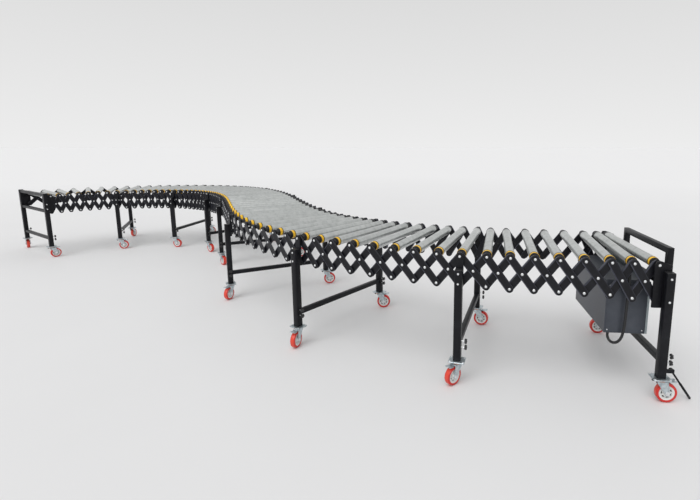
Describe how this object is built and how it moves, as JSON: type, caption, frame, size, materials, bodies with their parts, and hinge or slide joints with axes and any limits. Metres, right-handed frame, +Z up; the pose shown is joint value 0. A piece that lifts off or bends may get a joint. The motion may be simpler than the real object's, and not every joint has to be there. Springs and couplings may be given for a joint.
{
  "type": "flexible roller conveyor",
  "caption": "Flexible powered roller conveyor in an S-bend: rollers between scissor side frames on castored leg frames, with an end stop and an under-bed control box.",
  "frame": {"origin": "middle of the whole conveyor on the floor, under the centre of its bounding box", "axes": "+Z up; +X towards the end with the stop and the control box, along the last bed section; +Y towards that end's far side, away from the pictured side"},
  "size_m": [6.4014, 3.9052, 0.742],
  "materials": {
    "black_paint": "satin black powder coat",
    "roller_zinc": "zinc-plated roller tubes between black links",
    "castor_zinc": "bright zinc-plated pressings",
    "red_tread": "red polyurethane tread on a white core",
    "box_grey": "dark grey powder coat",
    "terminal_green": "dark green moulding",
    "winding_brown": "brown varnished winding",
    "cable_black": "black cable sheath"
  },
  "bodies": {
    "bed_8": {"roller_bed_8": "roller_zinc", "leg_frame_8": "black_paint"},
    "bed_7": {"roller_bed_7": "roller_zinc", "leg_frame_7": "black_paint"},
    "bed_6": {"roller_bed_6": "roller_zinc", "leg_frame_6": "black_paint"},
    "bed_5": {"roller_bed_5": "roller_zinc", "leg_frame_5": "black_paint"},
    "bed_4": {"roller_bed_4": "roller_zinc", "leg_frame_4": "black_paint"},
    "bed_3": {"roller_bed_3": "roller_zinc", "leg_frame_3": "black_paint"},
    "bed_2": {"roller_bed_2": "roller_zinc", "leg_frame_2": "black_paint"},
    "bed_1": {"roller_bed_1": "roller_zinc", "leg_frame_1": "black_paint"},
    "outer_links_4": {"outer_link_pair_4": "black_paint"},
    "inner_links_4": {"inner_link_near_4": "black_paint", "inner_link_far_4": "black_paint"},
    "outer_links_3": {"outer_link_pair_3": "black_paint"},
    "inner_links_3": {"inner_link_near_3": "black_paint", "inner_link_far_3": "black_paint"},
    "outer_links_2": {"outer_link_pair_2": "black_paint"},
    "inner_links_2": {"inner_link_near_2": "black_paint", "inner_link_far_2": "black_paint"},
    "outer_links_1": {"outer_link_pair_1": "black_paint"},
    "inner_links_1": {"inner_link_near_1": "black_paint", "inner_link_far_1": "black_paint"},
    "end_frame": {"end_frame": "black_paint", "roller_bed_9": "roller_zinc", "control_box": "box_grey", "terminal_strip": "terminal_green", "transformer": "winding_brown", "control_cable": "cable_black"},
    "end_stop": {"end_stop": "black_paint"},
    "floor_prop": {"floor_prop": "black_paint"},
    "roller_1": {"folding_roller_1": "roller_zinc"},
    "roller_2": {"folding_roller_2": "roller_zinc"},
    "roller_3": {"folding_roller_3": "roller_zinc"},
    "roller_4": {"folding_roller_4": "roller_zinc"},
    "end_fork_near": {"end_castor_fork_near": "castor_zinc"},
    "end_wheel_near": {"end_castor_wheel_near": "red_tread"},
    "castor_near_8": {"castor_near_8": "castor_zinc"},
    "castor_near_7": {"castor_near_7": "castor_zinc"},
    "castor_near_6": {"castor_near_6": "castor_zinc"},
    "castor_near_5": {"castor_near_5": "castor_zinc"},
    "castor_near_4": {"castor_near_4": "castor_zinc"},
    "castor_near_3": {"castor_near_3": "castor_zinc"},
    "castor_near_2": {"castor_near_2": "castor_zinc"},
    "castor_near_1": {"castor_near_1": "castor_zinc"},
    "end_fork_far": {"end_castor_fork_far": "castor_zinc"},
    "end_wheel_far": {"end_castor_wheel_far": "red_tread"},
    "castor_far_8": {"castor_far_8": "castor_zinc"},
    "castor_far_7": {"castor_far_7": "castor_zinc"},
    "castor_far_6": {"castor_far_6": "castor_zinc"},
    "castor_far_5": {"castor_far_5": "castor_zinc"},
    "castor_far_4": {"castor_far_4": "castor_zinc"},
    "castor_far_3": {"castor_far_3": "castor_zinc"},
    "castor_far_2": {"castor_far_2": "castor_zinc"},
    "castor_far_1": {"castor_far_1": "castor_zinc"}
  },
  "joints": [
    {"name": "fold_4_top", "type": "hinge", "parent": "bed_8", "child": "outer_links_4", "pos_m": [2.34187, -1.46246, 0.68], "axis": [0.0941, 0.9956, 0], "range_deg": [-7, 16]},
    {"name": "fold_4_middle", "type": "hinge", "parent": "outer_links_4", "child": "inner_links_4", "pos_m": [2.40161, -1.4681, 0.6], "axis": [0.0941, 0.9956, 0], "range_deg": [-32, 14]},
    {"name": "fold_3_top", "type": "hinge", "parent": "inner_links_4", "child": "outer_links_3", "pos_m": [2.46134, -1.47375, 0.68], "axis": [0.0941, 0.9956, 0], "range_deg": [-14, 32]},
    {"name": "fold_3_middle", "type": "hinge", "parent": "outer_links_3", "child": "inner_links_3", "pos_m": [2.52108, -1.4794, 0.6], "axis": [0.0941, 0.9956, 0], "range_deg": [-32, 14]},
    {"name": "fold_2_top", "type": "hinge", "parent": "inner_links_3", "child": "outer_links_2", "pos_m": [2.58081, -1.48504, 0.68], "axis": [0.0941, 0.9956, 0], "range_deg": [-14, 32]},
    {"name": "fold_2_middle", "type": "hinge", "parent": "outer_links_2", "child": "inner_links_2", "pos_m": [2.64054, -1.49069, 0.6], "axis": [0.0941, 0.9956, 0], "range_deg": [-32, 14]},
    {"name": "fold_1_top", "type": "hinge", "parent": "inner_links_2", "child": "outer_links_1", "pos_m": [2.70028, -1.49633, 0.68], "axis": [0.0941, 0.9956, 0], "range_deg": [-14, 32]},
    {"name": "fold_1_middle", "type": "hinge", "parent": "outer_links_1", "child": "inner_links_1", "pos_m": [2.76001, -1.50198, 0.6], "axis": [0.0941, 0.9956, 0], "range_deg": [-32, 14]},
    {"name": "fold_end_top", "type": "hinge", "parent": "inner_links_1", "child": "end_frame", "pos_m": [2.81974, -1.50763, 0.68], "axis": [0.0941, 0.9956, 0], "range_deg": [-7, 16]},
    {"name": "bend_7", "type": "hinge", "parent": "bed_8", "child": "bed_7", "pos_m": [1.63226, -1.29157, 0.68], "axis": [0, 0, 1], "range_deg": [-2, 2]},
    {"name": "bend_6", "type": "hinge", "parent": "bed_7", "child": "bed_6", "pos_m": [0.85225, -0.8, 0.68], "axis": [0, 0, 1], "range_deg": [-2, 2]},
    {"name": "bend_5", "type": "hinge", "parent": "bed_6", "child": "bed_5", "pos_m": [0.14602, 0.24044, 0.68], "axis": [0, 0, 1], "range_deg": [-2, 2]},
    {"name": "bend_4", "type": "hinge", "parent": "bed_5", "child": "bed_4", "pos_m": [-0.43346, 1.06957, 0.68], "axis": [0, 0, 1], "range_deg": [-1.2, 1.2]},
    {"name": "bend_3", "type": "hinge", "parent": "bed_4", "child": "bed_3", "pos_m": [-1.03537, 1.42852, 0.68], "axis": [0, 0, 1], "range_deg": [-1.7, 1.7]},
    {"name": "bend_2", "type": "hinge", "parent": "bed_3", "child": "bed_2", "pos_m": [-1.80447, 1.40852, 0.68], "axis": [0, 0, 1], "range_deg": [-2, 2]},
    {"name": "bend_1", "type": "hinge", "parent": "bed_2", "child": "bed_1", "pos_m": [-2.4909, 1.02503, 0.68], "axis": [0, 0, 1], "range_deg": [-2, 2]},
    {"name": "stop_height", "type": "slide", "parent": "end_frame", "child": "end_stop", "axis": [0, 0, 1], "range_m": [-0.08, 0.06]},
    {"name": "prop_swing", "type": "hinge", "parent": "end_frame", "child": "floor_prop", "pos_m": [3.09341, -1.89461, 0.15], "axis": [0, 1, 0], "range_deg": [-140, 0]},
    {"name": "end_swivel_near", "type": "hinge", "parent": "end_frame", "child": "end_fork_near", "pos_m": [3.03141, -1.92261, 0], "axis": [0, 0, 1], "continuous": true},
    {"name": "end_spin_near", "type": "hinge", "parent": "end_fork_near", "child": "end_wheel_near", "pos_m": [3.06341, -1.92261, 0.05], "axis": [0, 1, 0], "continuous": true},
    {"name": "end_swivel_far", "type": "hinge", "parent": "end_frame", "child": "end_fork_far", "pos_m": [3.03141, -1.11261, 0], "axis": [0, 0, 1], "continuous": true},
    {"name": "end_spin_far", "type": "hinge", "parent": "end_fork_far", "child": "end_wheel_far", "pos_m": [2.99941, -1.11261, 0.05], "axis": [0, -1, 0], "continuous": true},
    {"name": "swivel_near_8", "type": "hinge", "parent": "bed_8", "child": "castor_near_8", "pos_m": [2.04989, -1.83202, 0], "axis": [0, 0, 1], "continuous": true},
    {"name": "swivel_far_8", "type": "hinge", "parent": "bed_8", "child": "castor_far_8", "pos_m": [2.20166, -1.03637, 0], "axis": [0, 0, 1], "continuous": true},
    {"name": "swivel_near_7", "type": "hinge", "parent": "bed_7", "child": "castor_near_7", "pos_m": [1.06777, -1.47075, 0], "axis": [0, 0, 1], "continuous": true},
    {"name": "swivel_far_7", "type": "hinge", "parent": "bed_7", "child": "castor_far_7", "pos_m": [1.47277, -0.76927, 0], "axis": [0, 0, 1], "continuous": true},
    {"name": "swivel_near_6", "type": "hinge", "parent": "bed_6", "child": "castor_near_6", "pos_m": [0.22791, -0.6731, 0], "axis": [0, 0, 1], "continuous": true},
    {"name": "swivel_far_6", "type": "hinge", "parent": "bed_6", "child": "castor_far_6", "pos_m": [0.89465, -0.21315, 0], "axis": [0, 0, 1], "continuous": true},
    {"name": "swivel_near_5", "type": "hinge", "parent": "bed_5", "child": "castor_near_5", "pos_m": [-0.37923, 0.33431, 0], "axis": [0, 0, 1], "continuous": true},
    {"name": "swivel_far_5", "type": "hinge", "parent": "bed_5", "child": "castor_far_5", "pos_m": [0.31067, 0.75874, 0], "axis": [0, 0, 1], "continuous": true},
    {"name": "swivel_near_4", "type": "hinge", "parent": "bed_4", "child": "castor_near_4", "pos_m": [-0.8212, 0.87262, 0], "axis": [0, 0, 1], "continuous": true},
    {"name": "swivel_far_4", "type": "hinge", "parent": "bed_4", "child": "castor_far_4", "pos_m": [-0.32168, 1.51026, 0], "axis": [0, 0, 1], "continuous": true},
    {"name": "swivel_near_3", "type": "hinge", "parent": "bed_3", "child": "castor_near_3", "pos_m": [-1.36686, 1.06413, 0], "axis": [0, 0, 1], "continuous": true},
    {"name": "swivel_far_3", "type": "hinge", "parent": "bed_3", "child": "castor_far_3", "pos_m": [-1.3658, 1.87413, 0], "axis": [0, 0, 1], "continuous": true},
    {"name": "swivel_near_2", "type": "hinge", "parent": "bed_2", "child": "castor_near_2", "pos_m": [-1.96227, 0.91056, 0], "axis": [0, 0, 1], "continuous": true},
    {"name": "swivel_far_2", "type": "hinge", "parent": "bed_2", "child": "castor_far_2", "pos_m": [-2.34659, 1.62358, 0], "axis": [0, 0, 1], "continuous": true},
    {"name": "swivel_near_1", "type": "hinge", "parent": "bed_1", "child": "castor_near_1", "pos_m": [-2.42563, 0.4484, 0], "axis": [0, 0, 1], "continuous": true},
    {"name": "swivel_far_1", "type": "hinge", "parent": "bed_1", "child": "castor_far_1", "pos_m": [-3.12817, 0.85156, 0], "axis": [0, 0, 1], "continuous": true},
    {"name": "roller_spin_1", "type": "hinge", "parent": "outer_links_1", "child": "roller_1", "pos_m": [2.70028, -1.49633, 0.68], "axis": [0.0941, 0.9956, 0], "continuous": true},
    {"name": "roller_spin_2", "type": "hinge", "parent": "outer_links_2", "child": "roller_2", "pos_m": [2.58081, -1.48504, 0.68], "axis": [0.0941, 0.9956, 0], "continuous": true},
    {"name": "roller_spin_3", "type": "hinge", "parent": "outer_links_3", "child": "roller_3", "pos_m": [2.46134, -1.47375, 0.68], "axis": [0.0941, 0.9956, 0], "continuous": true},
    {"name": "roller_spin_4", "type": "hinge", "parent": "outer_links_4", "child": "roller_4", "pos_m": [2.34187, -1.46246, 0.68], "axis": [0.0941, 0.9956, 0], "continuous": true}
  ],
  "couplings": [
    {"joint": "fold_4_middle", "follows": "fold_4_top", "ratio": -2},
    {"joint": "fold_3_top", "follows": "fold_4_top", "ratio": 2},
    {"joint": "fold_3_middle", "follows": "fold_4_top", "ratio": -2},
    {"joint": "fold_2_top", "follows": "fold_4_top", "ratio": 2},
    {"joint": "fold_2_middle", "follows": "fold_4_top", "ratio": -2},
    {"joint": "fold_1_top", "follows": "fold_4_top", "ratio": 2},
    {"joint": "fold_1_middle", "follows": "fold_4_top", "ratio": -2},
    {"joint": "fold_end_top", "follows": "fold_4_top", "ratio": 1}
  ]
}
